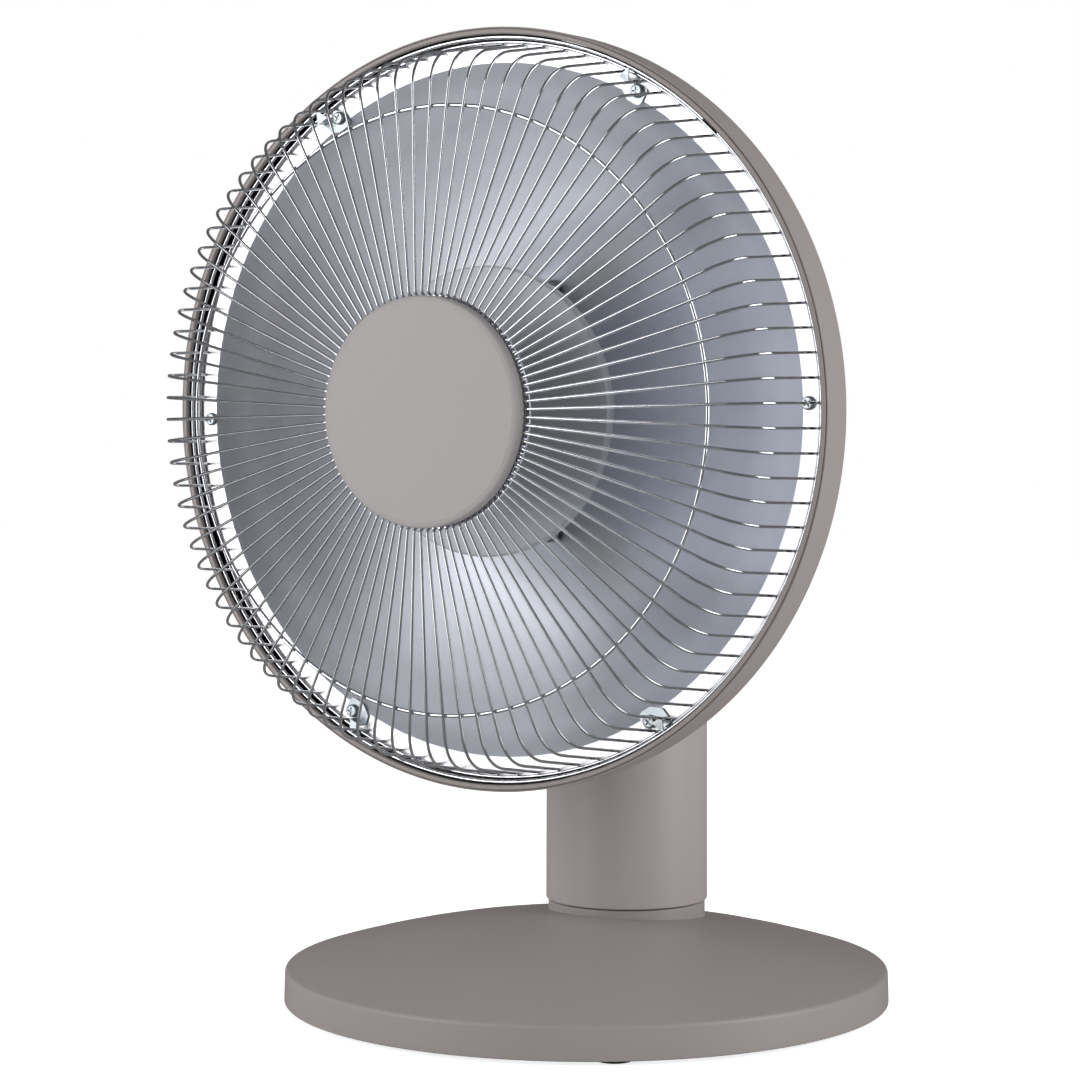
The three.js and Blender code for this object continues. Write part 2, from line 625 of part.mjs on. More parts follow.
function knucklePlate() {
  const plate = sleeve(9, KNUCKLE_FLANGE - 1, -78.5, -76.5, 12);
  return cut(plate, ...knuckleScrewPlaces.map(([x, y]) => rod(2.3, -80, -70, 6).translate(x, y, 0)));
}

const knuckleScrew = () => spin([[0, -84], [1.8, -84], [1.8, -76.2], [3.6, -76.2],
  [3, -74], [0, -74]], 6);

/** Cast neck behind the head: a flange, a tapering neck and the barrel on the tilt pin. */
function tiltKnuckle() {
  const pin = { y: PIN_HEIGHT - HEAD_HEIGHT, z: LIP_Y - PIN_Y };
  const flange = rod(KNUCKLE_FLANGE, -86, -COVER_DEPTH - GAP, 20);
  const side = new THREE.Shape();
  side.moveTo(-84.5, 9);
  side.lineTo(-84.5, -21);
  side.absarc(pin.z, pin.y, KNUCKLE_RADIUS, -Math.PI / 2, Math.PI / 2, true);
  side.closePath();
  const neck = slab(side, 2 * KNUCKLE_HALF).rotateY(-Math.PI / 2).translate(KNUCKLE_HALF, 0, 0);
  const bore = alongX(rod(PIN_RADIUS + GAP, -30, 30)).translate(0, pin.y, pin.z);
  const screwHoles = knuckleScrewPlaces.map(([x, y]) => rod(2.3, -85, -70, 6).translate(x, y, 0));
  return cut(join(flange, neck), bore, ...screwHoles);
}

function head() {
  const clipped = (i) => i % 3 !== 0;
  const screws = rimScrewPlaces.map(([x, y], i) => {
    const seat = (clipped(i) ? CLIP_BOTTOM : FLANGE_Z) + SHEET + GAP;
    const screw = piece(`flange_screw_${i + 1}`, flangeScrew(seat), zinc);
    screw.position.set(x, y, 0);
    return screw;
  });
  const clips = around(SCREW_COUNT, RIM_TURN).filter((_, i) => clipped(i)).map((angle, i) => {
    const clip = piece(`guard_clip_${i + 1}`, guardClip(), zinc);
    clip.rotation.z = angle;
    return clip;
  });
  const knuckleScrews = knuckleScrewPlaces.map(([x, y], i) => {
    const screw = piece(`knuckle_screw_${i + 1}`, knuckleScrew(), zinc);
    screw.position.set(x, y, 0);
    return screw;
  });
  const group = assembly([0, LIP_Y, HEAD_HEIGHT],
    piece('rim_hoop', rimHoop(), greige),
    piece('rear_cover', rearCover(), greige),
    piece('reflector', reflector(), satinAluminium),
    piece('guard', guard(), chrome),
    piece('guard_cap', guardCap(), greigeLight),
    screws, clips,
    piece('shade_disc', shadeDisc(), satinAluminium),
    piece('lamp_bracket', lampBracket(), zinc),
    piece('lamp_tube', lampTube(), quartz),
    piece('lamp_filament', lampFilament(), carbon),
    piece('lamp_end_top', lampEnd(1), ceramic),
    piece('lamp_end_bottom', lampEnd(-1), ceramic),
    piece('thermal_cutout', thermalCutout(), darkPlastic),
    piece('knuckle_plate', knucklePlate(), zinc),
    knuckleScrews,
    piece('tilt_knuckle', tiltKnuckle(), darkPlastic));
  group.rotation.x = Math.PI / 2;
  return group;
}

const heater = new THREE.Group();
heater.add(base(), column(), head());
export default heater;
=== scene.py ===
"""Parabolic dish heater: fine pieces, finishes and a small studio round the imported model."""
import json
import math
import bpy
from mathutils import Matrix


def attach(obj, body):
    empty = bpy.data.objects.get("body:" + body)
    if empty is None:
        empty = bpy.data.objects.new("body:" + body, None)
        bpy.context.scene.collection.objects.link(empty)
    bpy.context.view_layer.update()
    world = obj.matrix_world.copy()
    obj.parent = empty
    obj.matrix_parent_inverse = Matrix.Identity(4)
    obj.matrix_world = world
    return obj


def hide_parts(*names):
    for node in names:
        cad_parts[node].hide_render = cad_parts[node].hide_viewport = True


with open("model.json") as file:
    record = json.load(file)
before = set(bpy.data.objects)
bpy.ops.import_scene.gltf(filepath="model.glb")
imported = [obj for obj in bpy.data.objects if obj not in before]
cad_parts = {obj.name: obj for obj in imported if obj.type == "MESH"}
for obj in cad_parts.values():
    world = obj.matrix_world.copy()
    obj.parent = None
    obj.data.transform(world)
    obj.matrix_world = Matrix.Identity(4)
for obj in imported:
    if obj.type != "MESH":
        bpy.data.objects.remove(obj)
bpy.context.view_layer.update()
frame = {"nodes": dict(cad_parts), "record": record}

from types import SimpleNamespace

import bmesh
import bpy
from bpy.props import FloatProperty, FloatVectorProperty, IntProperty, PointerProperty
from bpy.types import Operator, Panel, PropertyGroup
from mathutils import Matrix, Vector

bl_info = {
    "name": "Parabolic Dish Heater",
    "version": (1, 0, 0),
    "blender": (4, 5, 0),
    "location": "View3D > Sidebar > Heater",
    "description": "Builds a dish heater with a wire guard, piece by piece",
    "category": "Add Mesh",
}

MM = 0.001
TURN = 2 * math.pi
PANEL_SCREWS = (196, 267)        # heights of the control panel's screws
PANEL_MIDDLE = 232               # height of the control panel's middle
GREY_FLOOR, WHITE_FLOOR = 0.18, 2.8     # what metal sees of the floor, beside and in the bright strip


# ---- sizes and colours ----------------------------------------------------------------
def length(name, millimetres, description):
    """A size that a user may change, stored in metres."""
    return FloatProperty(name=name, description=description, default=millimetres * MM, unit="LENGTH",
                         precision=4)


def tint(name, colour, description):
    """A linear colour that a user may change."""
    return FloatVectorProperty(name=name, description=description, default=colour, subtype="COLOR",
                               size=3, min=0, max=1)


class HeadSizes(PropertyGroup):
    """Sizes of the dish, its hoop and what stands in it."""
    height: length("Height", 296, "Middle of the dish above the floor")
    lip: length("Lip", -96, "Front edge of the hoop, along Y")
    rim_radius: length("Hoop radius", 180, "Outside of the painted hoop")
    rim_wall: length("Hoop wall", 3.3, "Thickness of the hoop")
    rim_depth: length("Hoop depth", 20, "Front edge to back edge of the hoop")
    flange_depth: length("Flange depth", 9, "Front edge of the hoop to the back of the dish's flange")
    flange_radius: length("Flange radius", 174.5, "Outside of the dish's flange")
    bowl_radius: length("Bowl radius", 164, "Edge between bowl and flange")
    bowl_depth: length("Bowl depth", 59, "Flange to the bottom of the bowl")
    cover_depth: length("Cover depth", 80, "Front edge of the hoop to the back of the rear cover")
    cap_radius: length("Cap radius", 53.2, "Plate in the middle of the guard")
    cap_face: length("Cap face", 54.5, "Front of the cap ahead of the hoop's edge")
    shade_radius: length("Shade radius", 68.7, "Pan in front of the lamp")
    lamp_depth: length("Lamp depth", 28, "Front edge of the hoop to the lamp's axis")
    screw_circle: length("Screw circle", 166.9, "Radius on which the flange screws sit")
    screw_count: IntProperty(name="Screws", description="Screws round the flange", default=6, min=3)
    vent_circle: length("Vent circle", 104, "Radius of the middle of the rear cover's slots")
    vent_count: IntProperty(name="Vents", description="Slots in the rear cover", default=9, min=3)
    neck_radius: length("Neck radius", 24, "Flange by which the neck is screwed on")
    barrel_radius: length("Barrel radius", 14, "Neck where it turns on the tilt pin")
    neck_screws: length("Neck screws", 17.5, "Radius on which the neck's screws sit")


class GuardSizes(PropertyGroup):
    """Sizes of the wire guard."""
    wire_count: IntProperty(name="Wires", description="Radial wires", default=96, min=12)
    wire_radius: length("Wire radius", 0.72, "Half the thickness of a radial wire")
    ring_radius: length("Ring wire radius", 0.95, "Half the thickness of the rings")
    turn: FloatProperty(name="Turn", description="Angle of the first wire", default=math.radians(1.4),
                        subtype="ANGLE")
    middle_radius: length("Middle ring radius", 140.4, "Ring welded across the wires")
    middle_height: length("Middle ring height", 37.6, "Middle ring ahead of the hoop's edge")


class BaseSizes(PropertyGroup):
    """Sizes of the round base."""
    radius: length("Radius", 151.5, "Outside of the base")
    wall: length("Wall", 2.4, "Thickness of the cover")
    edge: length("Edge height", 18, "Top of the side wall")
    crown: length("Crown height", 42, "Top of the dome in the middle")
    collar_radius: length("Collar radius", 40.2, "Raised ring under the column")
    collar_top: length("Collar height", 45.7, "Top of that ring")
    foot_circle: length("Foot circle", 138, "Radius on which the feet sit")
    foot_count: IntProperty(name="Feet", description="Rubber feet", default=5, min=3)


class ColumnSizes(PropertyGroup):
    """Sizes of the column and its controls."""
    axis: length("Axis", 41, "Swivel axis behind the middle of the base")
    foot_radius: length("Foot radius", 41.4, "Outside of the shell at its foot")
    top_radius: length("Top radius", 40.6, "Outside of the shell at its shoulder")
    wall: length("Wall", 2.6, "Thickness of the shell")
    foot: length("Foot height", 46.2, "Bottom of the shell")
    shoulder: length("Shoulder height", 318, "Where the domed top begins")
    top: length("Top height", 334, "Top of the column")
    pin_y: length("Pin", 22, "Tilt pin, along Y")
    pin_height: length("Pin height", 290, "Tilt pin above the floor")
    knob_height: length("Knob height", 245, "Power knob above the floor")
    button_height: length("Button height", 212, "Oscillation button above the floor")
    boss_face: length("Boss face", 42.2, "Flat of the control panel behind the swivel axis")


class Finishes(PropertyGroup):
    """Colours of the finishes."""
    paint: tint("Paint", (0.352, 0.316, 0.306), "Warm grey paint of hoop, cover and base")
    # Painted light: the column and its rear panel get the base's grey made about 1.2 times lighter, standing
    # in for light that falls on the column.
    shell: tint("Shell", (0.43, 0.386, 0.376), "Warm grey of the column")
    cap: tint("Cap", (0.40, 0.377, 0.375), "Lighter grey of the guard's cap")
    aluminium: tint("Aluminium", (0.72, 0.745, 0.81), "Spun dish")
    shade: tint("Shade", (0.52, 0.54, 0.58), "Satin aluminium of the shade and the lamp's bracket")
    chrome: tint("Chrome", (0.72, 0.73, 0.76), "Guard wires")
    zinc: tint("Zinc", (0.50, 0.54, 0.58), "Plated steel parts")
    plastic: tint("Plastic", (0.022, 0.022, 0.024), "Dark mouldings")


GROUPS = {"head": HeadSizes, "guard": GuardSizes, "base": BaseSizes, "column": ColumnSizes}


def sizes(group):
    """The lengths of one property group in millimetres, its counts and angles as they are."""
    found = {}
    for name in GROUPS[group].__annotations__:
        value = getattr(getattr(bpy.context.scene, f"heater_{group}"), name)
        is_length = isinstance(value, float) and name != "turn"
        found[name] = round(value / MM, 4) if is_length else value
    return SimpleNamespace(**found)


def head_place():
    """The head's own axes: x right, y up, z forward from the hoop's front edge."""
    head = sizes("head")
    return Matrix.Translation((0, head.lip, head.height)) @ Matrix.Rotation(math.pi / 2, 4, "X")


def column_place():
    return Matrix.Translation((0, sizes("column").axis, 0))


# ---- meshes, in millimetres until they are placed ---------------------------------------
def rounded(corners, steps=4, closed=True):
    """Points along a line of (x, y, fillet radius) corners; the radius may be left out."""
    points = []
    for i, corner in enumerate(corners):
        here = Vector(corner[:2])
        radius = corner[2] if len(corner) > 2 else 0
        at_end = not closed and i in (0, len(corners) - 1)
        if radius == 0 or at_end:
            points.append(here)
            continue
        into = Vector(corners[i - 1][:2]) - here
        away = Vector(corners[(i + 1) % len(corners)][:2]) - here
        reach = min(radius / math.tan(into.angle(away) / 2), 0.48 * into.length, 0.48 * away.length)
        start = here + into.normalized() * reach
        end = here + away.normalized() * reach
        for k in range(steps + 1):
            t = k / steps
            points.append(start * (1 - t) ** 2 + here * 2 * t * (1 - t) + end * t ** 2)
    return points


def on_circle(radius, angle):
    return radius * math.cos(angle), radius * math.sin(angle)


def around(count, turn=0.0):
    return [turn + k * TURN / count for k in range(count)]


def piece(name, mesh, place=Matrix.Identity(4), crease=40):
    """Makes an object of a mesh in millimetres, smooth but for its creases."""
    bmesh.ops.remove_doubles(mesh, verts=mesh.verts, dist=1e-4)
    bmesh.ops.recalc_face_normals(mesh, faces=mesh.faces)
    mesh.transform(Matrix.Scale(MM, 4) @ place)
    data = bpy.data.meshes.new(name)
    mesh.to_mesh(data)
    mesh.free()
    obj = bpy.data.objects.new(name, data)
    bpy.context.scene.collection.objects.link(obj)
    smooth(obj, crease)
    return obj


def smooth(obj, crease=40):
    """Shades a piece smooth, with sharp edges where its faces turn by more than the crease."""
    obj.data.polygons.foreach_set("use_smooth", [True] * len(obj.data.polygons))
    obj.data.set_sharp_from_angle(angle=math.radians(crease))
    if "weighted" not in obj.modifiers:
        obj.modifiers.new("weighted", "WEIGHTED_NORMAL").keep_sharp = True


def ring_faces(mesh, low, high):
    """Joins two rings of vertices; a ring of one vertex is a pole."""
    count = max(len(low), len(high))
    for k in range(count):
        corners = [low[k % len(low)], low[(k + 1) % len(low)],
                   high[(k + 1) % len(high)], high[k % len(high)]]
        corners = list(dict.fromkeys(corners))
        if len(corners) > 2:
            mesh.faces.new(corners)


def spin(corners, segments=144, steps=4, start=0.0, mesh=None, place=Matrix.Identity(4)):
    """Revolves an outline of (radius, z, fillet) corners about Z into a closed body."""
    mesh = mesh or bmesh.new()
    touches_axis = corners[0][0] == 0
    rings = []
    for radius, z in rounded(corners, steps, closed=not touches_axis):
        angles = around(segments, start) if radius > 1e-6 else [0]
        rings.append([mesh.verts.new(place @ Vector((*on_circle(radius, a), z))) for a in angles])
    following = rings[1:] if touches_axis else rings[1:] + rings[:1]
    for low, high in zip(rings, following):
        ring_faces(mesh, low, high)
    return mesh


def prism(outline, bottom, top, mesh=None, place=Matrix.Identity(4)):
    """Extrudes a closed outline of points along Z."""
    mesh = mesh or bmesh.new()
    low = [mesh.verts.new(place @ Vector((x, y, bottom))) for x, y in outline]
    high = [mesh.verts.new(place @ Vector((x, y, top))) for x, y in outline]
    ring_faces(mesh, low, high)
    mesh.faces.new(low[::-1])
    mesh.faces.new(high)
    return mesh


def rectangle(half_x, half_y, radius, steps=4, centre=(0, 0)):
    cx, cy = centre
    corners = [(-half_x, -half_y), (half_x, -half_y), (half_x, half_y), (-half_x, half_y)]
    return rounded([(cx + x, cy + y, radius) for x, y in corners], steps)


def tube(path, radius, sides=10, mesh=None, closed=False):
    """Sweeps a round section along 3-D points; the section turns with the path."""
    mesh = mesh or bmesh.new()
    points = [Vector(p) for p in path]
    count = len(points)
    rings = []
    across = None
    for i, point in enumerate(points):
        before = points[i - 1] if closed or i > 0 else point
        after = points[(i + 1) % count] if closed or i < count - 1 else point
        along = (after - before).normalized()
        if across is None:
            across = along.orthogonal().normalized()
        across = (across - along * across.dot(along)).normalized()
        other = along.cross(across)
        rings.append([mesh.verts.new(point + across * (radius * math.cos(a)) + other * (radius * math.sin(a)))
                      for a in around(sides)])
    following = rings[1:] + rings[:1] if closed else rings[1:]
    for low, high in zip(rings, following):
        ring_faces(mesh, low, high)
    if not closed:
        mesh.faces.new(rings[0][::-1])
        mesh.faces.new(rings[-1])
    return mesh


def copies(mesh, matrices):
    """A new mesh that holds one copy of a mesh under each matrix."""
    single = bpy.data.meshes.new("single")
    mesh.to_mesh(single)
    mesh.free()
    many = bmesh.new()
    for matrix in matrices:
        start = len(many.verts)
        many.from_mesh(single)
        many.verts.ensure_lookup_table()
        bmesh.ops.transform(many, matrix=matrix, verts=many.verts[start:])
    bpy.data.meshes.remove(single)
    return many


def carve(obj, *cutters, operation="DIFFERENCE", crease=40):
    """Cuts a piece once with cutters that lie clear of one another, and removes them."""
    joined = bmesh.new()
    for cutter in cutters:
        joined.from_mesh(cutter.data)
        bpy.data.objects.remove(cutter)
    data = bpy.data.meshes.new("cutter")
    joined.to_mesh(data)
    joined.free()
    cutter = bpy.data.objects.new("cutter", data)
    bpy.context.scene.collection.objects.link(cutter)
    obj.modifiers.clear()
    change = obj.modifiers.new("cut", "BOOLEAN")
    change.operation = operation
    change.solver = "EXACT"
    change.object = cutter
    bpy.context.view_layer.update()
    shaped = bpy.data.meshes.new_from_object(obj.evaluated_get(bpy.context.evaluated_depsgraph_get()))
    shaped.name = obj.name
    obj.modifiers.clear()
    obj.data = shaped
    bpy.data.objects.remove(cutter)
    smooth(obj, crease)
    return obj


def own_axes(obj, place):
    """Gives a piece the axes of its place instead of the scene's; it stays where it is."""
    axes = Matrix.Scale(MM, 4) @ place
    axes = Matrix.LocRotScale(axes.translation, axes.to_quaternion(), None)
    obj.data.transform(axes.inverted())
    obj.matrix_world = axes
    return obj


def dress(obj, body, slot, material, *nodes):
    """Gives a piece its finish, its body and the CAD nodes that it stands for."""
    obj.data.materials.clear()
    obj.data.materials.append(material)
    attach(obj, body)
    if nodes:
        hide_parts(*nodes)
    return obj


# ---- shader maths ------------------------------------------------------------------------
class Value:
    """A number that changes over a surface; arithmetic on it adds Math nodes."""

    def __init__(self, surface, socket):
        self.surface = surface
        self.socket = socket

    def math(self, operation, *terms):
        return self.surface.node("ShaderNodeMath", {"operation": operation}, dict(enumerate(terms)))

    def __add__(self, other):
        return self.math("ADD", self, other)

    def __radd__(self, other):
        return self.math("ADD", other, self)

    def __sub__(self, other):
        return self.math("SUBTRACT", self, other)

    def __rsub__(self, other):
        return self.math("SUBTRACT", other, self)

    def __mul__(self, other):
        return self.math("MULTIPLY", self, other)

    def __rmul__(self, other):
        return self.math("MULTIPLY", other, self)

    def __pow__(self, other):
        return self.math("POWER", self, other)

    def above(self, low, high):
        """0 below low, 1 above high and a straight ramp between them."""
        return self.surface.node("ShaderNodeMapRange", {"clamp": True},
                                 {0: self, 1: low, 2: high, 3: 0.0, 4: 1.0})


class Tree:
    """A node tree; every node that isn't there from the start comes from node()."""

    def __init__(self, owner):
        owner.use_nodes = True
        self.tree = owner.node_tree

    def node(self, kind, settings=None, inputs=None, output=0):
        """Adds a node of that type with its settings, then its inputs, and returns an output."""
        node = self.tree.nodes.new(kind)
        for name, value in (settings or {}).items():
            setattr(node, name, value)
        for socket, value in (inputs or {}).items():
            if isinstance(value, Value):
                self.tree.links.new(value.socket, node.inputs[socket])
            else:
                node.inputs[socket].default_value = value
        return Value(self, node.outputs[output])

    def show(self, value, output="Material Output"):
        self.tree.links.new(value.socket, self.tree.nodes[output].inputs["Surface"])

    def glow(self, strength):
        return self.node("ShaderNodeEmission", {}, {"Strength": strength})

    def by_ray(self, eye, mirror, rest):
        """One shader to the camera's own rays, one to reflected rays and one to all others."""
        path = self.node("ShaderNodeLightPath").socket.node.outputs
        kinds = [Value(self, path[name]) for name in ("Is Glossy Ray", "Is Camera Ray")]
        indirect = self.node("ShaderNodeMixShader", {}, {0: kinds[0], 1: rest, 2: mirror})
        return self.node("ShaderNodeMixShader", {}, {0: kinds[1], 1: indirect, 2: eye})


class Surface(Tree):
    """One finish: a Principled shader and what changes over it."""

    def __init__(self, name, colour, roughness, metallic=0.0, **constants):
        self.material = bpy.data.materials.new(name)
        super().__init__(self.material)
        self.shader = self.tree.nodes["Principled BSDF"]
        self.material.diffuse_color = (*colour, 1)
        self.colour = Vector(colour)
        self.constant("Base Color", (*colour, 1))
        self.constant("Roughness", roughness)
        self.constant("Metallic", metallic)
        for socket, value in constants.items():
            self.constant(socket.replace("_", " "), value)
        self.where = self.node("ShaderNodeTexCoord", output="Object")

    def constant(self, socket, value):
        self.shader.inputs[socket].default_value = value

    def link(self, socket, value):
        self.tree.links.new(value.socket, self.shader.inputs[socket])

    def noise(self, scale, detail=2.0, roughness=0.5):
        return self.node("ShaderNodeTexNoise", {}, {"Vector": self.where, "Scale": scale,
                                                    "Detail": detail, "Roughness": roughness})

    def mix(self, first, second, factor):
        """A colour between two colours."""
        def rgba(colour):
            return colour if isinstance(colour, Value) else (*colour, 1)
        return self.node("ShaderNodeMix", {"data_type": "RGBA"},
                         {0: factor, 6: rgba(first), 7: rgba(second)}, output=2)

    def bump(self, height, depth, strength=1.0):
        """Raises the surface by a height of 0 to 1 times a depth in millimetres."""
        self.link("Normal", self.node("ShaderNodeBump", {},
                                      {"Strength": strength, "Distance": depth * MM, "Height": height}))

    def radius(self, centre):
        """Distance from the Y axis through a centre, in metres."""
        x, _, z = self.axes()
        return ((x - centre[0]) ** 2 + (z - centre[1]) ** 2) ** 0.5

    def axes(self):
        split = self.node("ShaderNodeSeparateXYZ", {}, {0: self.where}).socket.node
        return [Value(self, split.outputs[k]) for k in range(3)]


FINISHES = {}


def finish(name):
    """The finish of that name, made when it is first asked for."""
    if name not in FINISHES:
        FINISHES[name] = MAKERS[name]()
    return FINISHES[name].material


def colours():
    return bpy.context.scene.heater_finishes


def paint(name, colour, roughness=0.42):
    """Sprayed satin paint: faint clouds of tone and a fine peel."""
    surface = Surface(name, colour, roughness, Specular_IOR_Level=0.45)
    clouds = surface.noise(7, 4, 0.55)
    surface.link("Base Color", surface.mix(surface.colour * 0.965, surface.colour * 1.035, clouds))
    surface.link("Roughness", clouds * 0.10 + (roughness - 0.05))
    surface.bump(surface.noise(900, 2, 0.6), 0.02, 0.5)
    return surface


def hoop_paint_with_painted_shade():
    """The hoop's paint, with painted shade: the deeper part of its inside, in the gap behind the guard's
    rings, is painted near black where shade falls.
    """
    surface = paint("hoop_paint_with_painted_shade", colours().paint)
    head = sizes("head")
    radius = surface.radius((0, head.height * MM))
    outside = radius.above((head.rim_radius - head.rim_wall + 0.15) * MM,
                           (head.rim_radius - head.rim_wall + 0.3) * MM)
    # Mask of the painted shade: the hoop's inside from about 2 mm behind its front edge.
    painted_shade_deep = surface.axes()[1].above((head.lip + 1.8) * MM, (head.lip + 2.6) * MM)
    tone = surface.shader.inputs["Base Color"].links[0].from_socket
    clear_of_painted_shade = 1 - painted_shade_deep * (1 - outside)
    # Near black here is painted shade, not a dark material: the deep inside of the hoop, away from its outer
    # surface.
    surface.link("Base Color", surface.mix((0.012, 0.011, 0.011), Value(surface, tone), clear_of_painted_shade))
    return surface


def spun(name, colour, painted_reflection_from=None, metallic=1.0, dull=0.0):
    """Spun aluminium: fine rings round the piece's own Z; from a radius out the flat flange is near white,
    partly a smoother pressed face and partly a painted reflection of the bright lamp that it mirrors.
    """
    surface = Surface(name, colour, 0.3, metallic, Anisotropic=0.75, Anisotropic_Rotation=0.25)
    x, y, _ = surface.axes()
    radius = (x ** 2 + y ** 2) ** 0.5
    rings = surface.node("ShaderNodeTexNoise", {"noise_dimensions": "1D"},
                         {"W": radius, "Scale": 1400.0, "Detail": 3.0})
    bands = surface.node("ShaderNodeTexNoise", {"noise_dimensions": "1D"},
                         {"W": radius, "Scale": 90.0, "Detail": 2.0})
    clouds = surface.noise(9, 3)
    tone = surface.mix(surface.colour * 0.95, surface.colour, bands)
    if painted_reflection_from:
        flat = radius.above(painted_reflection_from * MM, (painted_reflection_from + 0.2) * MM)
        # Near white on the flange: partly a painted reflection of the bright lamp that the flat face mirrors.
        tone = surface.mix(tone, (0.97, 0.97, 0.97), flat)
    surface.link("Roughness", bands * 0.06 + clouds * 0.06 + (0.27 + dull))
    surface.link("Base Color", tone)
    surface.bump(rings, 0.012, 0.5)
    return surface


def chrome(name, colour, roughness=0.09):
    surface = Surface(name, colour, roughness, 1.0)
    clouds = surface.noise(60, 3)
    surface.link("Roughness", roughness + clouds * 0.05)
    return surface


def zinc():
    """Plated steel with a dull, slightly patchy shine."""
    surface = Surface("zinc_plate", colours().zinc, 0.35, 1.0)
    spots = surface.noise(180, 4, 0.6)
    surface.link("Roughness", 0.24 + spots * 0.2)
    surface.link("Base Color", surface.mix(surface.colour * 0.85, surface.colour * 1.1, spots))
    surface.bump(surface.noise(1500, 2), 0.006, 0.4)
    return surface


def moulded(name, colour, roughness, grain=1200, depth=0.02):
    """Moulded plastic or rubber with a fine grain."""
    surface = Surface(name, colour, roughness)
    surface.link("Roughness", roughness - 0.04 + surface.noise(25, 3) * 0.08)
    surface.bump(surface.noise(grain, 2, 0.6), depth, 0.6)
    return surface


def cast_iron():
    surface = Surface("cast_iron", (0.05, 0.05, 0.052), 0.7, 0.4)
    lumps = surface.noise(120, 5, 0.7)
    surface.link("Roughness", 0.6 + lumps * 0.25)
    surface.bump(lumps, 0.3, 0.8)
    return surface


def ceramic():
    surface = Surface("lamp_ceramic", (0.80, 0.70, 0.52), 0.55)
    pores = surface.noise(700, 4, 0.65)
    surface.link("Base Color", surface.mix((0.74, 0.63, 0.45), (0.84, 0.75, 0.58), pores))
    surface.bump(pores, 0.05, 0.6)
    return surface


def quartz():
    surface = Surface("quartz", (0.96, 0.97, 0.98), 0.04, Transmission_Weight=1.0, IOR=1.46)
    surface.link("Roughness", 0.02 + surface.noise(50, 2) * 0.05)
    return surface


def carbon():
    surface = Surface("carbon_coil", (0.035, 0.03, 0.028), 0.5, 0.5)
    surface.link("Roughness", 0.4 + surface.noise(400, 3) * 0.2)
    return surface


MAKERS = {
    "paint": lambda: paint("satin_paint", colours().paint),
    # The shell finish is that grey lightened as painted light on the column and rear panel.
    "shell": lambda: paint("shell_satin_painted_light", colours().shell, 0.36),
    "cap": lambda: paint("cap_paint", colours().cap, 0.4),
    "hoop": hoop_paint_with_painted_shade,
    "dish": lambda: spun("spun_dish", colours().aluminium, sizes("head").bowl_radius + 0.3),
    "shade": lambda: spun("satin_aluminium", colours().shade, metallic=0.5, dull=0.14),
    "chrome": lambda: chrome("bright_wire", colours().chrome),
    "zinc": zinc,
    "plastic": lambda: moulded("dark_plastic", colours().plastic, 0.42),
    "rubber": lambda: moulded("foot_rubber", (0.018, 0.018, 0.018), 0.75, 700, 0.04),
    "iron": cast_iron,
    "ceramic": ceramic,
    "quartz": quartz,
    "carbon": carbon,
}

SLOT_FINISH = {
    "greige_paint": "paint", "greige_shell": "shell", "cap_paint": "cap", "bright_wire": "chrome",
    "spun_aluminium": "dish", "zinc_steel": "zinc", "cast_iron": "iron", "black_plastic": "plastic",
    "foot_rubber": "rubber", "lamp_ceramic": "ceramic", "quartz": "quartz", "carbon": "carbon",
}


# ---- base --------------------------------------------------------------------------------
class HEATER_OT_base_cover(Operator):
    """Domed cover of the base with the column's collar"""
    bl_idname = "heater.base_cover"
    bl_label = "Base cover"

    def execute(self, context):
        base, column = sizes("base"), sizes("column")

        def dome(radius):
            return base.edge + (base.crown - base.edge) * (1 - (radius / base.radius) ** 2)

        radii = [140, 125, 110, 95, 80, 60, 40, 20]
        outside = [(base.radius, 2, 0.8), (base.radius - 0.5, dome(base.radius - 0.5), 2.6)]
        outside += [(r, dome(r)) for r in radii] + [(0, base.crown)]
        inside = [(0, base.crown - base.wall)] + [(r, dome(r) - base.wall) for r in radii[::-1]]
        inner = base.radius - base.wall
        inside += [(inner - 1, base.edge - base.wall, 1.5), (inner, 2, 0.6)]
        cover = piece("base_cover_fine", spin(outside + inside, 192))
        place = column_place()
        collar = [(0, 34), (base.collar_radius, 34), (base.collar_radius, base.collar_top, 1.2),
                  (0, base.collar_top)]
        carve(cover, piece("collar", spin(collar, 144), place), operation="UNION")
        mouth = [(0, 20), (37.2, 20), (37.2, base.collar_top - 3), (31, base.collar_top - 3, 0.4),
                 (31, base.collar_top + 1), (0, base.collar_top + 1)]
        inlet = Matrix.Translation((0, 0, 10)) @ Matrix.Rotation(-math.pi / 2, 4, "X")
        carve(cover, piece("mouth", spin(mouth, 96), place),
              piece("inlet", spin([(0, 140), (4.7, 140), (4.7, 160), (0, 160)], 32), inlet))
        dress(cover, "base", "greige_shell", finish("paint"), "base_cover")
        return {"FINISHED"}


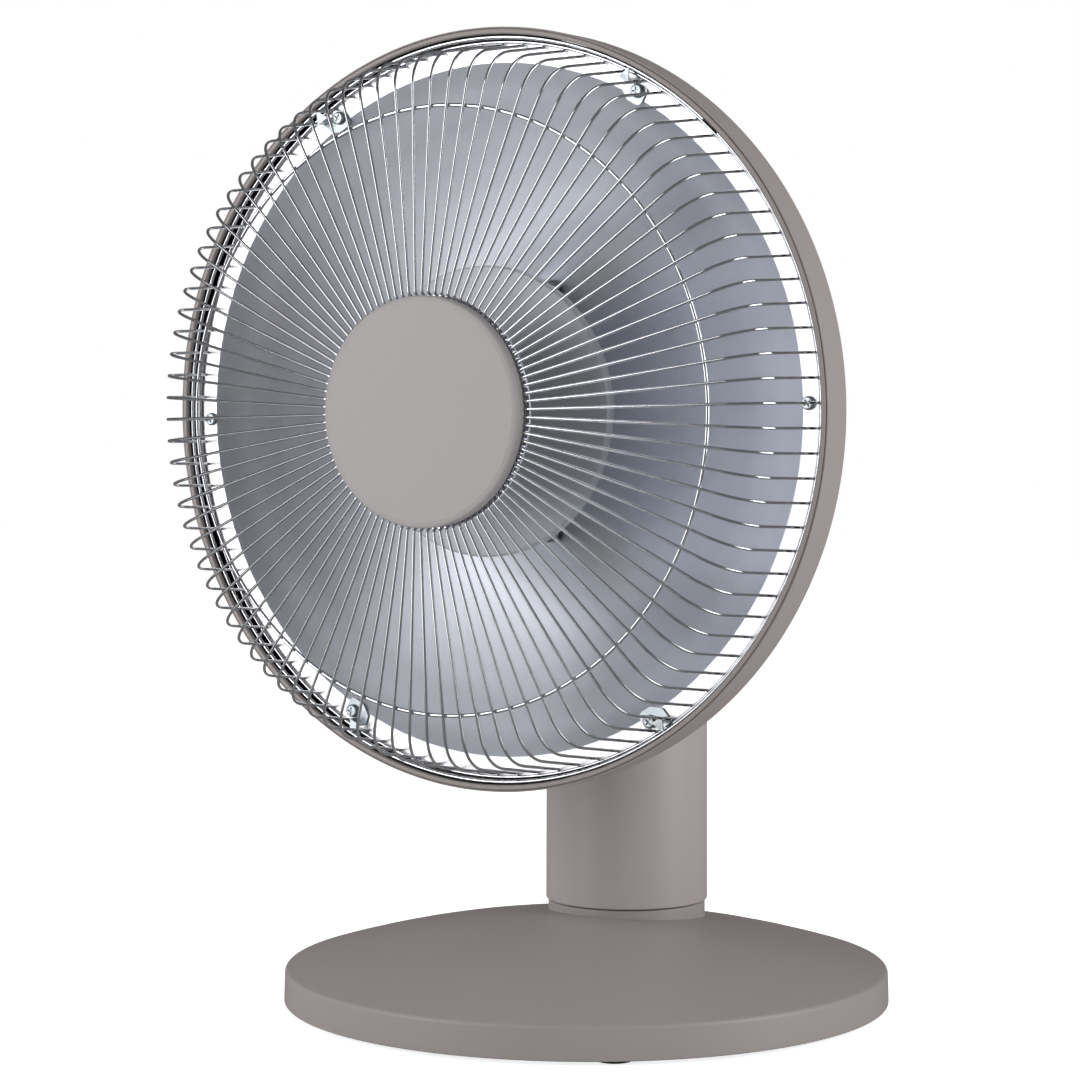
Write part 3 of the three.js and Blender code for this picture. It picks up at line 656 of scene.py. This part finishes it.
class HEATER_OT_base_underside(Operator):
    """Floor plate, feet, cord bush and running washer"""
    bl_idname = "heater.base_underside"
    bl_label = "Base underside"

    def execute(self, context):
        base = sizes("base")
        edge = base.radius - base.wall - 1.2
        pan = [(0, 2.3), (edge, 2.3, 0.8), (edge, 6.5, 0.5), (edge - 1.6, 6.5, 0.5),
               (edge - 1.6, 3.9, 0.8), (0, 3.9)]
        plate = piece("base_plate_fine", spin(pan, 144))
        angles = around(base.foot_count, math.pi / 2)
        holes = [piece("hole", spin([(0, 0), (4.2, 0), (4.2, 9), (0, 9)], 24),
                       Matrix.Translation((*on_circle(base.foot_circle, a), 0))) for a in angles]
        holes.append(piece("hole", spin([(0, 0), (3.4, 0), (3.4, 9), (0, 9)], 24),
                           Matrix.Translation((54, -46, 0))))
        holes.append(piece("notch", prism(rectangle(7, 10, 1, centre=(0, 150)), 3.9, 10)))
        carve(plate, *holes)
        dress(plate, "base", "zinc_steel", finish("zinc"), "base_plate")
        foot = [(0, 0), (9, 0, 0.9), (8.7, 2, 0.3), (3.6, 2, 0.2), (3.6, 6.4, 0.6), (0, 6.4)]
        for k, angle in enumerate(angles):
            place = Matrix.Translation((*on_circle(base.foot_circle, angle), 0))
            dress(piece(f"foot_fine_{k + 1}", spin(foot, 40), place), "base", "foot_rubber",
                  finish("rubber"), f"foot_{k + 1}")
        bush = [(3, 143, 0.4), (5.7, 143, 0.4), (5.7, 147, 0.4), (4.4, 147, 0.2), (4.4, 151.2, 0.6),
                (3, 151.2, 0.6)]
        place = Matrix.Translation((0, 0, 10)) @ Matrix.Rotation(-math.pi / 2, 4, "X")
        dress(piece("cord_gland_fine", spin(bush, 40), place), "base", "foot_rubber", finish("rubber"),
              "cord_gland")
        washer = [(31.8, 46, 0.2), (37.2, 46, 0.2), (37.2, 47.7, 0.2), (31.8, 47.7, 0.2)]
        dress(piece("thrust_washer_fine", spin(washer, 96), column_place()), "base", "black_plastic",
              finish("plastic"), "thrust_washer")
        return {"FINISHED"}


# ---- column ------------------------------------------------------------------------------
def column_outline(column, inset, bottom):
    """Outline of the column's outside, or of its inside when an inset is given."""
    crown = column.top - column.shoulder - inset
    dome = []
    for k in range(13):
        angle = k * math.pi / 24
        radius = (column.top_radius - inset) * math.cos(angle)
        dome.append((radius, column.shoulder + crown * math.sin(angle)))
    dome[-1] = (0, dome[-1][1])
    edge = 0.8 if inset == 0 else 0
    return [(0, bottom), (column.foot_radius - inset, bottom, edge)] + dome


class HEATER_OT_column_shell(Operator):
    """Round column with its window for the neck and its opening for the panel"""
    bl_idname = "heater.column_shell"
    bl_label = "Column shell"

    def execute(self, context):
        column = sizes("column")
        place = column_place()
        shell = piece("column_shell_fine", spin(column_outline(column, 0, column.foot), 144), place)
        hollow = piece("hollow", spin(column_outline(column, column.wall, column.foot - 5), 96), place)
        tall = Matrix.Rotation(math.pi / 2, 4, "X")
        window = piece("window", prism(rectangle(17.5, 26, 5, centre=(0, 290)), 10, 60), place @ tall)
        doorway = rectangle(24, 42, 4, centre=(0, PANEL_MIDDLE))
        opening = piece("opening", prism(doorway, -60, -10), place @ tall)
        carve(shell, hollow)
        carve(shell, window, opening)
        dress(shell, "column", "greige_shell", finish("shell"), "column_shell")
        return {"FINISHED"}


class HEATER_OT_controls(Operator):
    """Rear panel with its knob, push button and screws"""
    bl_idname = "heater.controls"
    bl_label = "Controls"

    def execute(self, context):
        column = sizes("column")
        place = column_place()
        tall = place @ Matrix.Rotation(math.pi / 2, 4, "X")
        back = Matrix.Rotation(-math.pi / 2, 4, "X")
        panel = piece("rear_panel_fine", spin(column_outline(column, 0, column.foot), 144), place)
        carve(panel, piece("hollow", spin(column_outline(column, column.wall, column.foot - 5), 96), place))
        patch = rectangle(23.6, 41.6, 3.6, centre=(0, PANEL_MIDDLE))
        carve(panel, piece("patch", prism(patch, -60, -10), tall), operation="INTERSECT")

        def boss(radius, height):
            outline = [(0, 36), (radius, 36), (radius, column.boss_face, 0.7), (0, column.boss_face)]
            return piece("boss", spin(outline, 64), place @ Matrix.Translation((0, 0, height)) @ back)

        def hole(radius, height):
            outline = [(0, 20), (radius, 20), (radius, 60), (0, 60)]
            return piece("hole", spin(outline, 40), place @ Matrix.Translation((0, 0, height)) @ back)

        carve(panel, boss(14, column.knob_height), boss(9, column.button_height), operation="UNION")
        screws = [hole(1.9, height) for height in PANEL_SCREWS]
        carve(panel, hole(3.4, column.knob_height), hole(6.4, column.button_height), *screws)
        dress(panel, "column", "greige_shell", finish("shell"), "rear_panel")

        screw = [(0, 33), (1.6, 33), (1.6, 41.6), (2.8, 41.6, 0.3), (2.3, 43.4, 0.6), (0, 43.4)]
        for k, height in enumerate(PANEL_SCREWS):
            dress(piece(f"panel_screw_fine_{k + 1}", spin(screw, 32),
                        place @ Matrix.Translation((0, 0, height)) @ back),
                  "column", "zinc_steel", finish("zinc"), f"panel_screw_{k + 1}")
        face = column.boss_face
        knob = [(0, face + 0.3), (13, face + 0.3, 0.4), (13, face + 3, 1), (11, face + 4.5, 1),
                (10.6, 55, 1), (0, 55)]
        knob_place = place @ Matrix.Translation((0, 0, column.knob_height)) @ back
        turned = piece("power_knob_fine", spin(knob, 96), knob_place)
        ridge = prism(rectangle(2.2, 11.2, 1.2), 50, 58.5)
        carve(turned, piece("ridge", ridge, knob_place), operation="UNION")
        dress(turned, "knob", "black_plastic", finish("plastic"), "power_knob")
        button = [(0, 33), (7.6, 33), (7.6, 35), (6, 35), (6, 45.8, 0.8), (4, 46.6, 2), (0, 46.6)]
        dress(piece("oscillation_button_fine", spin(button, 56),
                    place @ Matrix.Translation((0, 0, column.button_height)) @ back),
              "button", "black_plastic", finish("plastic"), "oscillation_button")
        return {"FINISHED"}


# ---- head --------------------------------------------------------------------------------
def screw_places(circle, count, turn):
    return [on_circle(circle, angle) for angle in around(count, turn)]


class HEATER_OT_rim_hoop(Operator):
    """Painted hoop round the dish with a rolled front lip"""
    bl_idname = "heater.rim_hoop"
    bl_label = "Hoop"

    def execute(self, context):
        head = sizes("head")
        inner = head.rim_radius - head.rim_wall
        outer, lip = head.rim_radius, head.rim_radius - 1.1
        outline = [(inner, -head.rim_depth, 0.6), (outer, -head.rim_depth, 1.2), (outer, -0.7, 0.6),
                   (lip + 0.45, -0.6, 0.15), (lip + 0.4, -1.4, 0.15), (lip, -1.4, 0.15), (lip, 0, 0.6),
                   (inner, 0, 0.9)]
        hoop = piece("rim_hoop_fine", spin(outline, 240), head_place())
        dress(hoop, "head", "greige_paint", finish("hoop"), "rim_hoop")
        return {"FINISHED"}


def parabola(flat, edge, flat_z, edge_z, count):
    """Points along a parabola from its flat middle out to its edge."""
    points = []
    for k in range(count + 1):
        radius = flat + (edge - flat) * k / count
        share = (radius ** 2 - flat ** 2) / (edge ** 2 - flat ** 2)
        points.append((radius, flat_z + (edge_z - flat_z) * share))
    return points


class HEATER_OT_reflector(Operator):
    """Spun aluminium dish with its flat flange"""
    bl_idname = "heater.reflector"
    bl_label = "Reflector"

    def execute(self, context):
        head, guard = sizes("head"), sizes("guard")
        back = parabola(7, head.bowl_radius, -head.flange_depth - head.bowl_depth, -head.flange_depth, 24)
        sheet = 0.8
        front = [(r, z + sheet) for r, z in back][::-1]
        flange = [(head.flange_radius, -head.flange_depth), (head.flange_radius, -head.flange_depth + sheet)]
        dish = piece("reflector_fine", spin(back + flange + front, 192), head_place(), crease=20)
        holes = [piece("hole", spin([(0, -20), (1.9, -20), (1.9, 0), (0, 0)], 20),
                       head_place() @ Matrix.Translation((x, y, 0)))
                 for x, y in screw_places(head.screw_circle, head.screw_count, guard.turn)]
        own_axes(carve(dish, *holes, crease=20), head_place())
        dress(dish, "head", "spun_aluminium", finish("dish"), "reflector")
        return {"FINISHED"}


def neck_holes():
    """Cutters for the three holes through which the neck is screwed to the rear cover."""
    return [piece("hole", spin([(0, -85.5), (2.3, -85.5), (2.3, -70), (0, -70)], 20),
                  head_place() @ Matrix.Translation((*on_circle(sizes("head").neck_screws, angle), 0)))
            for angle in around(3, math.pi / 2)]


class HEATER_OT_rear_cover(Operator):
    """Pressed steel back of the head with vent slots"""
    bl_idname = "heater.rear_cover"
    bl_label = "Rear cover"

    def execute(self, context):
        head, guard = sizes("head"), sizes("guard")
        sheet, flat = 1.2, 31
        edge = head.rim_radius - head.rim_wall - 0.8
        outside = parabola(flat, edge, -head.cover_depth, -head.rim_depth, 20)
        inside = [(min(r, edge - sheet), z + sheet) for r, z in outside][::-1]
        top = -head.flange_depth - 0.3
        rim = [(edge, top), (head.bowl_radius + 1, top), (head.bowl_radius + 1, top - sheet),
               (edge - sheet, top - sheet)]
        outline = [(7, -head.cover_depth)] + outside + rim + inside + [(7, sheet - head.cover_depth)]
        cover = piece("rear_cover_fine", spin(outline, 180), head_place())
        slots = []
        for angle in around(head.vent_count):
            outward = Matrix.Translation((head.vent_circle, 0, 0))
            place = head_place() @ Matrix.Rotation(angle, 4, "Z") @ outward
            slots.append(piece("slot", prism(rectangle(17, 2.5, 2.4), -90, -20), place))
        for x, y in screw_places(head.screw_circle, head.screw_count, guard.turn):
            slots.append(piece("hole", spin([(0, -20), (1.9, -20), (1.9, 0), (0, 0)], 16),
                               head_place() @ Matrix.Translation((x, y, 0))))
        slots += neck_holes()
        carve(cover, *slots)
        dress(cover, "head", "greige_paint", finish("paint"), "rear_cover")
        return {"FINISHED"}


class HEATER_OT_neck(Operator):
    """Cast neck behind the dish: its flange and the barrel on the tilt pin"""
    bl_idname = "heater.neck"
    bl_label = "Neck"

    def execute(self, context):
        head, column = sizes("head"), sizes("column")
        along, up = head.lip - column.pin_y, column.pin_height - head.height
        arc = [on_circle(head.barrel_radius, math.pi * (1.5 - k / 24)) for k in range(25)]
        barrel = [(along + x, up + y) for x, y in arc]
        sideways = head_place() @ Matrix.Rotation(-math.pi / 2, 4, "Y")
        neck = piece("tilt_knuckle_fine", prism([(-84.5, 9), (-84.5, -21)] + barrel, -15.5, 15.5), sideways)
        back = -head.cover_depth
        edge = head.neck_radius
        flange = [(0, back - 6), (edge, back - 6, 1.2), (edge, back - 0.3, 0.3), (0, back - 0.3)]
        carve(neck, piece("flange", spin(flange, 72), head_place()), operation="UNION")
        across = sideways @ Matrix.Translation((along, up, 0))
        bore = spin([(0, -30), (5.3, -30), (5.3, 30), (0, 30)], 40)
        carve(neck, piece("bore", bore, across), *neck_holes())
        dress(neck, "head", "black_plastic", finish("plastic"), "tilt_knuckle")
        return {"FINISHED"}


class HEATER_OT_guard(Operator):
    """Welded wire guard: radial wires, rim rings, middle ring and hub ring"""
    bl_idname = "heater.guard"
    bl_label = "Wire guard"

    def execute(self, context):
        guard = sizes("guard")
        bends = [(171.9, -7.4), (165, 36.7, 20), (54.9, 49.5, 2.6), (50.8, 44.6)]
        path = [(r, 0, z) for r, z in rounded(bends, 10, closed=False)]
        turns = [Matrix.Rotation(angle, 4, "Z") for angle in around(guard.wire_count, guard.turn)]
        wires = copies(tube(path, guard.wire_radius, 12), turns)
        self.ring(wires, 173.5, -6.9)
        self.ring(wires, 175.5, -3.4, gap_at=math.radians(47), gap=math.radians(1.6))
        self.ring(wires, guard.middle_radius, guard.middle_height)
        spin([(46.6, 43.4, 0.3), (53.8, 43.4, 0.3), (53.8, 44.8, 0.3), (46.6, 44.8, 0.3)], 128, 3, mesh=wires)
        made = piece("guard_fine", wires, head_place(), crease=60)
        dress(made, "head", "bright_wire", finish("chrome"), "guard")
        return {"FINISHED"}

    def ring(self, wires, radius, height, gap_at=0.0, gap=0.0, count=240):
        """A round wire ring; where it has a gap, its two ends stand that far apart."""
        steps = count + 1 if gap else count
        angles = [gap_at + gap + (TURN - 2 * gap) * k / count for k in range(steps)]
        line = [(*on_circle(radius, angle), height) for angle in angles]
        tube(line, sizes("guard").ring_radius, 12, wires, closed=not gap)


class HEATER_OT_guard_cap(Operator):
    """Plain pressed pan in the middle of the guard"""
    bl_idname = "heater.guard_cap"
    bl_label = "Guard cap"

    def execute(self, context):
        head = sizes("head")
        outer, face, sheet = head.cap_radius, head.cap_face, 1.2
        outline = [(44, 46.8, 0.4), (48.6, 46.8, 1), (51.6, 48.5, 1), (outer, 48.5, 0.5),
                   (outer, face - 0.7, 1.6), (outer - 3, face - 0.25, 2), (0, face), (0, face - sheet),
                   (outer - 3, face - 0.25 - sheet, 2), (outer - sheet, face - 0.7 - sheet, 1),
                   (outer - sheet, 49.7), (51.2, 49.7), (48.2, 48, 1), (44, 48, 0.4)]
        points = [(p[0], p[1]) for p in rounded(outline, 5)]
        first = points.index(min(points, key=lambda p: (p[0], -p[1])))
        ordered = points[first + 1:] + points[:first + 1]
        cap = piece("guard_cap_fine", spin(ordered, 192), head_place())
        dress(cap, "head", "cap_paint", finish("cap"), "guard_cap")
        return {"FINISHED"}


class HEATER_OT_lamp(Operator):
    """Shade pan, lamp tube with its coil and ceramic ends"""
    bl_idname = "heater.lamp"
    bl_label = "Lamp and shade"

    def execute(self, context):
        head = sizes("head")
        place = head_place()
        r, sheet = head.shade_radius, 0.8
        outline = [(0, 1.8), (r - sheet - 1, 0.2, 1), (r - sheet, -4.8, 0.2), (r, -4.8, 0.3),
                   (r, 0.4, 1.4), (0, 2.6)]
        dress(own_axes(piece("shade_disc_fine", spin(outline, 192), place), place), "head", "spun_aluminium",
              finish("shade"), "shade_disc")
        upright = place @ Matrix.Translation((0, 0, -head.lamp_depth)) @ Matrix.Rotation(-math.pi / 2, 4, "X")
        glass = [(4.4, -47, 0.3), (5.5, -47, 0.3), (5.5, 47, 0.3), (4.4, 47, 0.3)]
        dress(piece("lamp_tube_fine", spin(glass, 40), upright), "head", "quartz", finish("quartz"),
              "lamp_tube")
        coil = [(*on_circle(1.5, k * TURN / 10), -46 + k * 0.23) for k in range(401)]
        dress(piece("lamp_coil", tube(coil, 0.3, 6), upright), "head", "carbon", finish("carbon"),
              "lamp_filament")
        for name, side in (("top", 1), ("bottom", -1)):
            block = prism(rectangle(7.5, 7.5, 1), 47.3, 61.8)
            turned = upright if side > 0 else upright @ Matrix.Rotation(math.pi, 4, "X")
            end = piece(f"lamp_end_fine_{name}", block, turned)
            dress(end, "head", "lamp_ceramic", finish("ceramic"), f"lamp_end_{name}")
        return {"FINISHED"}


class HEATER_OT_fastenings(Operator):
    """Screws and clips round the dish's flange"""
    bl_idname = "heater.fastenings"
    bl_label = "Screws and clips"

    def execute(self, context):
        head, guard = sizes("head"), sizes("guard")
        flange = -head.flange_depth + 0.8
        clips = 0
        for k, angle in enumerate(around(head.screw_count, guard.turn)):
            clipped = k % 3 != 0
            seat = flange + 0.3 + (1.1 if clipped else 0)
            outline = [(0, -15), (1.5, -15), (1.5, seat), (3.35, seat, 0.3), (2.9, seat + 1.9, 0.9),
                       (0, seat + 1.9)]
            place = head_place() @ Matrix.Translation((*on_circle(head.screw_circle, angle), 0))
            screw = piece(f"flange_screw_fine_{k + 1}", spin(outline, 32), place)
            turn = Matrix.Rotation(0.6 + k, 4, "Z")
            for half in ((1.9, 0.4), (0.4, 1.9)):
                slot = prism(rectangle(*half, 0.1, 1), seat + 0.8, seat + 3)
                carve(screw, piece("slot", slot, place @ turn))
            dress(screw, "head", "zinc_steel", finish("zinc"), f"flange_screw_{k + 1}")
            if clipped:
                clips += 1
                self.clip(clips, flange + 0.3, head_place() @ Matrix.Rotation(angle, 4, "Z"))
        return {"FINISHED"}


    def clip(self, number, seat, place):
        """Bent sheet under a screw, with a pointed hook that holds the rim rings down."""
        circle, sheet, reach = sizes("head").screw_circle, 0.8, 171.2
        plate = rounded([(circle - 4.4, -4.2, 3), (reach, -4.2, 0.8), (reach, 9.6, 0.6),
                         (circle - 1, 8.6, 1.5), (circle - 4.4, 3.4, 2)], 5)
        flat = prism([(x - 1.6, y) for x, y in plate], seat, seat + sheet)
        foot = piece(f"guard_clip_fine_{number}", flat, place)
        riser = prism(rectangle(0.4, 3.1, 0.2, 1, (reach - 2, 6.3)), seat + 0.2, -1.6)
        point = rounded([(reach - 2.4, 3.2, 0.2), (reach - 2.4, 9.4, 0.2), (175.4, 6.6, 0.5)], 2)
        hook = prism(point, -2.3, -1.5)
        carve(foot, piece("riser", riser, place), operation="UNION")
        carve(foot, piece("hook", hook, place), operation="UNION")
        hole = spin([(0, -20), (1.7, -20), (1.7, 0), (0, 0)], 16)
        carve(foot, piece("hole", hole, place @ Matrix.Translation((circle, 0, 0))))
        dress(foot, "head", "zinc_steel", finish("zinc"), f"guard_clip_{number}")


class HEATER_OT_inner_parts(Operator):
    """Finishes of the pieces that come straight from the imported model"""
    bl_idname = "heater.inner_parts"
    bl_label = "Inner parts"

    def execute(self, context):
        slots = {row["node"]: row["material_slot"] for row in frame["record"]["subparts"]}
        for name, obj in frame["nodes"].items():
            if not obj.hide_render:
                kind = "shade" if name == "lamp_bracket" else SLOT_FINISH[slots[name]]
                obj.data.materials.clear()
                obj.data.materials.append(finish(kind))
        return {"FINISHED"}


# ---- stage -------------------------------------------------------------------------------
def softbox(name, azimuth, distance, centre, size, power, mirrored=True):
    """A soft rectangular lamp that faces the heater; the eye doesn't see it, metal may."""
    light = bpy.data.lights.new(name, "AREA")
    light.shape = "RECTANGLE"
    light.size, light.size_y = size
    light.energy = power
    lamp = bpy.data.objects.new(name, light)
    turn = math.radians(azimuth)
    lamp.location = (math.sin(turn) * distance, -math.cos(turn) * distance, centre)
    lamp.rotation_euler = (lamp.location - Vector((0, 0, 0.3))).to_track_quat("Z", "Y").to_euler()
    lamp.visible_camera = False
    lamp.visible_glossy = mirrored
    bpy.context.scene.collection.objects.link(lamp)


class HEATER_OT_stage(Operator):
    """Pale floor, soft lamps, plain surroundings and the camera"""
    bl_idname = "heater.stage"
    bl_label = "Stage"

    def execute(self, context):
        scene = context.scene
        scene.view_settings.view_transform = "Standard"
        self.floor()
        softbox("softbox_front", -28, 1.6, 0.62, (0.88, 1.06), 9.5)
        softbox("softbox_right", 98, 1.5, 0.5, (0.9, 1.5), 15)
        softbox("softbox_left", -80, 1.5, 0.6, (1.1, 1.6), 8, mirrored=False)
        self.surroundings(scene)
        self.camera(scene)
        return {"FINISHED"}

    def floor(self):
        """White floor; to metal it is grey, with a bright strip that runs out to the front left."""
        floor = piece("floor", prism(rectangle(4000, 4000, 0), -12, 0))
        surface = Surface("floor_white", (0.86, 0.86, 0.86), 0.8)
        x, y, _ = surface.axes()
        turn = math.radians(33)     # direction of the strip, from straight ahead
        aside = surface.node("ShaderNodeMath", {"operation": "ABSOLUTE"},
                             {0: x * math.cos(turn) - (y + 0.1) * math.sin(turn)})
        ahead = x * -math.sin(turn) - (y + 0.1) * math.cos(turn)
        stripe = (1 - aside.above(0.2, 0.45)) * ahead.above(0.55, 0.8)
        plain = Value(surface, surface.shader.outputs[0])
        lit = surface.node("ShaderNodeAddShader", {}, {0: plain, 1: surface.glow(0.78)})
        mirrored = surface.node("ShaderNodeMixShader", {},
                                {0: stripe, 1: surface.glow(GREY_FLOOR), 2: surface.glow(WHITE_FLOOR)})
        surface.show(surface.by_ray(lit, mirrored, plain))
        floor.data.materials.append(surface.material)

    def surroundings(self, scene):
        """White room to the eye, a dark one to metal and a grey one to the paint."""
        world = bpy.data.worlds.new("studio")
        room = Tree(world)
        room.show(room.by_ray(room.glow(1.0), room.glow(0.13), room.glow(0.38)), "World Output")
        scene.world = world

    def camera(self, scene):
        """The photograph's view: low, a little from the right, with a long lens."""
        lens = bpy.data.cameras.new("camera")
        lens.lens = 98.45
        lens.sensor_width = 36
        lens.clip_end = 50
        camera = bpy.data.objects.new("camera", lens)
        camera.location = (0.7516, -1.27, 0.3008)
        camera.rotation_euler = (math.radians(90 - 2.686), 0, math.radians(31.516))
        scene.collection.objects.link(camera)
        scene.camera = camera


PIECES = (
    HEATER_OT_base_cover, HEATER_OT_base_underside, HEATER_OT_column_shell, HEATER_OT_controls,
    HEATER_OT_rim_hoop, HEATER_OT_reflector, HEATER_OT_rear_cover, HEATER_OT_neck, HEATER_OT_guard,
    HEATER_OT_guard_cap,
    HEATER_OT_lamp, HEATER_OT_fastenings, HEATER_OT_inner_parts, HEATER_OT_stage,
)


class HEATER_PT_panel(Panel):
    """Sidebar panel that lists the heater's pieces and sizes"""
    bl_idname = "HEATER_PT_panel"
    bl_label = "Dish heater"
    bl_space_type = "VIEW_3D"
    bl_region_type = "UI"
    bl_category = "Heater"

    def draw(self, context):
        for operator in PIECES:
            self.layout.operator(operator.bl_idname)
        for name, group in (*GROUPS.items(), ("finishes", Finishes)):
            box = self.layout.box()
            for prop in group.__annotations__:
                box.prop(getattr(context.scene, f"heater_{name}"), prop)


CLASSES = (*GROUPS.values(), Finishes, *PIECES, HEATER_PT_panel)


def register():
    for cls in CLASSES:
        bpy.utils.register_class(cls)
    for name, group in (*GROUPS.items(), ("finishes", Finishes)):
        setattr(bpy.types.Scene, f"heater_{name}", PointerProperty(type=group))


def unregister():
    for name in (*GROUPS, "finishes"):
        delattr(bpy.types.Scene, f"heater_{name}")
    for cls in reversed(CLASSES):
        bpy.utils.unregister_class(cls)


def main():
    """Builds the whole heater and its stage."""
    register()
    for operator in PIECES:
        category, name = operator.bl_idname.split(".")
        getattr(getattr(bpy.ops, category), name)()


if __name__ == "__main__":
    main()
